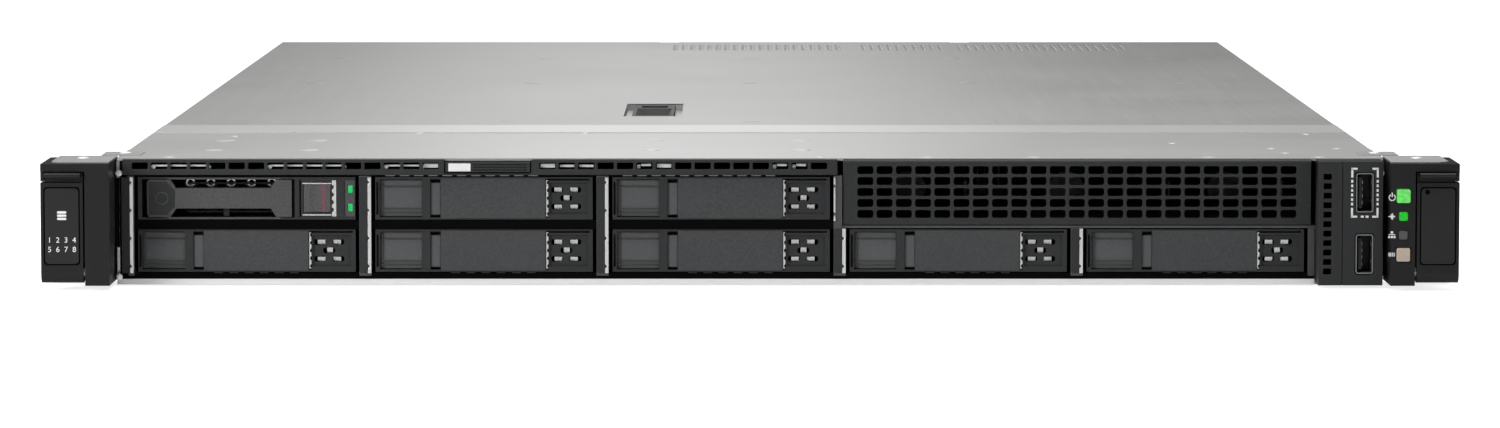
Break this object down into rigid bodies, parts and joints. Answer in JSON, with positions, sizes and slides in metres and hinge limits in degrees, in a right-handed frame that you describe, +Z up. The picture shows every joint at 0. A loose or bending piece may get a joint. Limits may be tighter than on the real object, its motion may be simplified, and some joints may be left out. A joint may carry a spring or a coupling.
{
  "type": "1u rack server",
  "caption": "Flat rack mount server one rack unit high, with front drive bays, vented bay cover, side ears with levers, lift-off top cover, fans, boards and plug-in power supplies.",
  "frame": {"origin": "on the underside, on the centre plane, in the plane where the rear faces of the ears meet the rack posts", "axes": "+X to the right seen from the front, +Y from the front towards the rear, +Z up"},
  "size_m": [0.4826, 0.7912, 0.0432],
  "materials": {
    "cover_steel": "satin grey sheet metal",
    "chassis_steel": "bare zinc plated sheet",
    "deck_steel": "satin grey sheet metal",
    "cage_steel": "bare plated sheet",
    "charcoal_plastic": "fine textured moulding",
    "black_plastic": "smooth moulding",
    "ear_plastic": "fine textured moulding",
    "green_light": "lit lens",
    "beige_button": "moulded cap",
    "circuit_board": "lacquered board",
    "socket_plastic": "moulded connector",
    "bare_aluminium": "extruded",
    "supply_case": "plated case",
    "latch_plastic": "moulded touch point",
    "bright_plate": "nickel plated",
    "cable_jacket": "soft jacket"
  },
  "bodies": {
    "chassis": {"chassis_tray": "chassis_steel", "rear_panel": "chassis_steel", "front_deck": "deck_steel", "drive_cage": "cage_steel", "vent_strip": "charcoal_plastic", "side_vent": "black_plastic", "usb_panel": "charcoal_plastic", "usb_ports": "bright_plate", "drive_backplane": "circuit_board", "fan_cradle": "chassis_steel", "fan_frames": "black_plastic", "system_board": "circuit_board", "processor_sockets": "bright_plate", "heat_sinks": "bare_aluminium", "memory_sockets": "socket_plastic", "memory_modules": "circuit_board", "air_baffle": "black_plastic", "riser_cages": "chassis_steel", "riser_boards": "circuit_board", "slot_covers": "bright_plate", "rear_ports": "bright_plate", "inner_cables": "cable_jacket", "ear_brackets": "chassis_steel", "left_ear": "ear_plastic", "right_ear": "ear_plastic", "rack_screws": "bright_plate", "status_lights": "green_light", "rail_studs": "bright_plate", "screws": "bright_plate"},
    "fan_rotor_1": {"fan_rotor_1": "black_plastic"},
    "fan_rotor_2": {"fan_rotor_2": "black_plastic"},
    "fan_rotor_3": {"fan_rotor_3": "black_plastic"},
    "fan_rotor_4": {"fan_rotor_4": "black_plastic"},
    "fan_rotor_5": {"fan_rotor_5": "black_plastic"},
    "fan_rotor_6": {"fan_rotor_6": "black_plastic"},
    "fan_rotor_7": {"fan_rotor_7": "black_plastic"},
    "bay_blank_1": {"bay_blank_1": "charcoal_plastic"},
    "bay_blank_2": {"bay_blank_2": "charcoal_plastic"},
    "bay_blank_3": {"bay_blank_3": "charcoal_plastic"},
    "bay_blank_4": {"bay_blank_4": "charcoal_plastic"},
    "bay_blank_5": {"bay_blank_5": "charcoal_plastic"},
    "bay_blank_6": {"bay_blank_6": "charcoal_plastic"},
    "bay_blank_7": {"bay_blank_7": "charcoal_plastic"},
    "power_supply_1": {"power_supply_1": "supply_case"},
    "supply_latch_1": {"supply_latch_1": "latch_plastic"},
    "power_supply_2": {"power_supply_2": "supply_case"},
    "supply_latch_2": {"supply_latch_2": "latch_plastic"},
    "left_lever": {"left_lever": "ear_plastic"},
    "right_lever": {"right_lever": "ear_plastic"},
    "power_button": {"power_button": "green_light"},
    "locator_button": {"locator_button": "beige_button"},
    "pull_tab": {"pull_tab": "charcoal_plastic"},
    "media_bay_grille": {"media_bay_grille": "charcoal_plastic"},
    "drive_carrier": {"drive_carrier": "charcoal_plastic", "carrier_drive": "bare_aluminium", "carrier_lights": "green_light"},
    "carrier_lever": {"carrier_lever": "charcoal_plastic"},
    "carrier_button": {"carrier_button": "latch_plastic"},
    "top_cover": {"top_cover": "cover_steel", "cover_flanges": "cover_steel", "latch_pocket": "cover_steel"},
    "cover_latch": {"cover_latch": "black_plastic"}
  },
  "joints": [
    {"name": "fan_1_spin", "type": "hinge", "parent": "chassis", "child": "fan_rotor_1", "pos_m": [-0.174, 0.141, 0.0218], "axis": [0, 1, 0], "continuous": true},
    {"name": "fan_2_spin", "type": "hinge", "parent": "chassis", "child": "fan_rotor_2", "pos_m": [-0.116, 0.141, 0.0218], "axis": [0, 1, 0], "continuous": true},
    {"name": "fan_3_spin", "type": "hinge", "parent": "chassis", "child": "fan_rotor_3", "pos_m": [-0.058, 0.141, 0.0218], "axis": [0, 1, 0], "continuous": true},
    {"name": "fan_4_spin", "type": "hinge", "parent": "chassis", "child": "fan_rotor_4", "pos_m": [0, 0.141, 0.0218], "axis": [0, 1, 0], "continuous": true},
    {"name": "fan_5_spin", "type": "hinge", "parent": "chassis", "child": "fan_rotor_5", "pos_m": [0.058, 0.141, 0.0218], "axis": [0, 1, 0], "continuous": true},
    {"name": "fan_6_spin", "type": "hinge", "parent": "chassis", "child": "fan_rotor_6", "pos_m": [0.116, 0.141, 0.0218], "axis": [0, 1, 0], "continuous": true},
    {"name": "fan_7_spin", "type": "hinge", "parent": "chassis", "child": "fan_rotor_7", "pos_m": [0.174, 0.141, 0.0218], "axis": [0, 1, 0], "continuous": true},
    {"name": "blank_1_slide", "type": "slide", "parent": "chassis", "child": "bay_blank_1", "axis": [0, -1, 0], "range_m": [0, 0.07]},
    {"name": "blank_2_slide", "type": "slide", "parent": "chassis", "child": "bay_blank_2", "axis": [0, -1, 0], "range_m": [0, 0.07]},
    {"name": "blank_3_slide", "type": "slide", "parent": "chassis", "child": "bay_blank_3", "axis": [0, -1, 0], "range_m": [0, 0.07]},
    {"name": "blank_4_slide", "type": "slide", "parent": "chassis", "child": "bay_blank_4", "axis": [0, -1, 0], "range_m": [0, 0.07]},
    {"name": "blank_5_slide", "type": "slide", "parent": "chassis", "child": "bay_blank_5", "axis": [0, -1, 0], "range_m": [0, 0.07]},
    {"name": "blank_6_slide", "type": "slide", "parent": "chassis", "child": "bay_blank_6", "axis": [0, -1, 0], "range_m": [0, 0.07]},
    {"name": "blank_7_slide", "type": "slide", "parent": "chassis", "child": "bay_blank_7", "axis": [0, -1, 0], "range_m": [0, 0.07]},
    {"name": "supply_1_slide", "type": "slide", "parent": "chassis", "child": "power_supply_1", "axis": [0, 1, 0], "range_m": [0, 0.2]},
    {"name": "supply_latch_1_press", "type": "hinge", "parent": "power_supply_1", "child": "supply_latch_1", "pos_m": [-0.2109, 0.7344, 0.0206], "axis": [0, 0, -1], "range_deg": [0, 6], "stiffness_Nm_per_rad": 0.4, "springref_deg": -5.73},
    {"name": "supply_2_slide", "type": "slide", "parent": "chassis", "child": "power_supply_2", "axis": [0, 1, 0], "range_m": [0, 0.2]},
    {"name": "supply_latch_2_press", "type": "hinge", "parent": "power_supply_2", "child": "supply_latch_2", "pos_m": [-0.1225, 0.7344, 0.0206], "axis": [0, 0, -1], "range_deg": [0, 6], "stiffness_Nm_per_rad": 0.4, "springref_deg": -5.73},
    {"name": "left_lever_swing", "type": "hinge", "parent": "chassis", "child": "left_lever", "pos_m": [-0.2341, -0.0304, 0.0056], "axis": [1, 0, 0], "range_deg": [0, 75], "stiffness_Nm_per_rad": 0.04, "springref_deg": -22.92},
    {"name": "right_lever_swing", "type": "hinge", "parent": "chassis", "child": "right_lever", "pos_m": [0.2341, -0.0304, 0.0056], "axis": [1, 0, 0], "range_deg": [0, 75], "stiffness_Nm_per_rad": 0.04, "springref_deg": -22.92},
    {"name": "power_button_press", "type": "slide", "parent": "chassis", "child": "power_button", "axis": [0, 1, 0], "range_m": [0, 0.001], "stiffness_N_per_m": 800, "springref_m": -0.0008},
    {"name": "locator_button_press", "type": "slide", "parent": "chassis", "child": "locator_button", "axis": [0, 1, 0], "range_m": [0, 0.001], "stiffness_N_per_m": 800, "springref_m": -0.0008},
    {"name": "pull_tab_slide", "type": "slide", "parent": "chassis", "child": "pull_tab", "axis": [0, -1, 0], "range_m": [0, 0.06]},
    {"name": "grille_slide", "type": "slide", "parent": "chassis", "child": "media_bay_grille", "axis": [0, -1, 0], "range_m": [0, 0.06]},
    {"name": "carrier_slide", "type": "slide", "parent": "chassis", "child": "drive_carrier", "axis": [0, -1, 0], "range_m": [0, 0.12]},
    {"name": "carrier_lever_swing", "type": "hinge", "parent": "drive_carrier", "child": "carrier_lever", "pos_m": [-0.2052, -0.0132, 0.0296], "axis": [0, 0, -1], "range_deg": [0, 50]},
    {"name": "carrier_button_press", "type": "slide", "parent": "drive_carrier", "child": "carrier_button", "axis": [0, 1, 0], "range_m": [0, 0.0012], "stiffness_N_per_m": 800, "springref_m": -0.0008},
    {"name": "cover_lift", "type": "slide", "parent": "chassis", "child": "top_cover", "axis": [0, 0, 1], "range_m": [0, 0.25]},
    {"name": "cover_latch_lift", "type": "hinge", "parent": "top_cover", "child": "cover_latch", "pos_m": [-0.0369, 0.216, 0.0415], "axis": [1, 0, 0], "range_deg": [0, 75]}
  ]
}
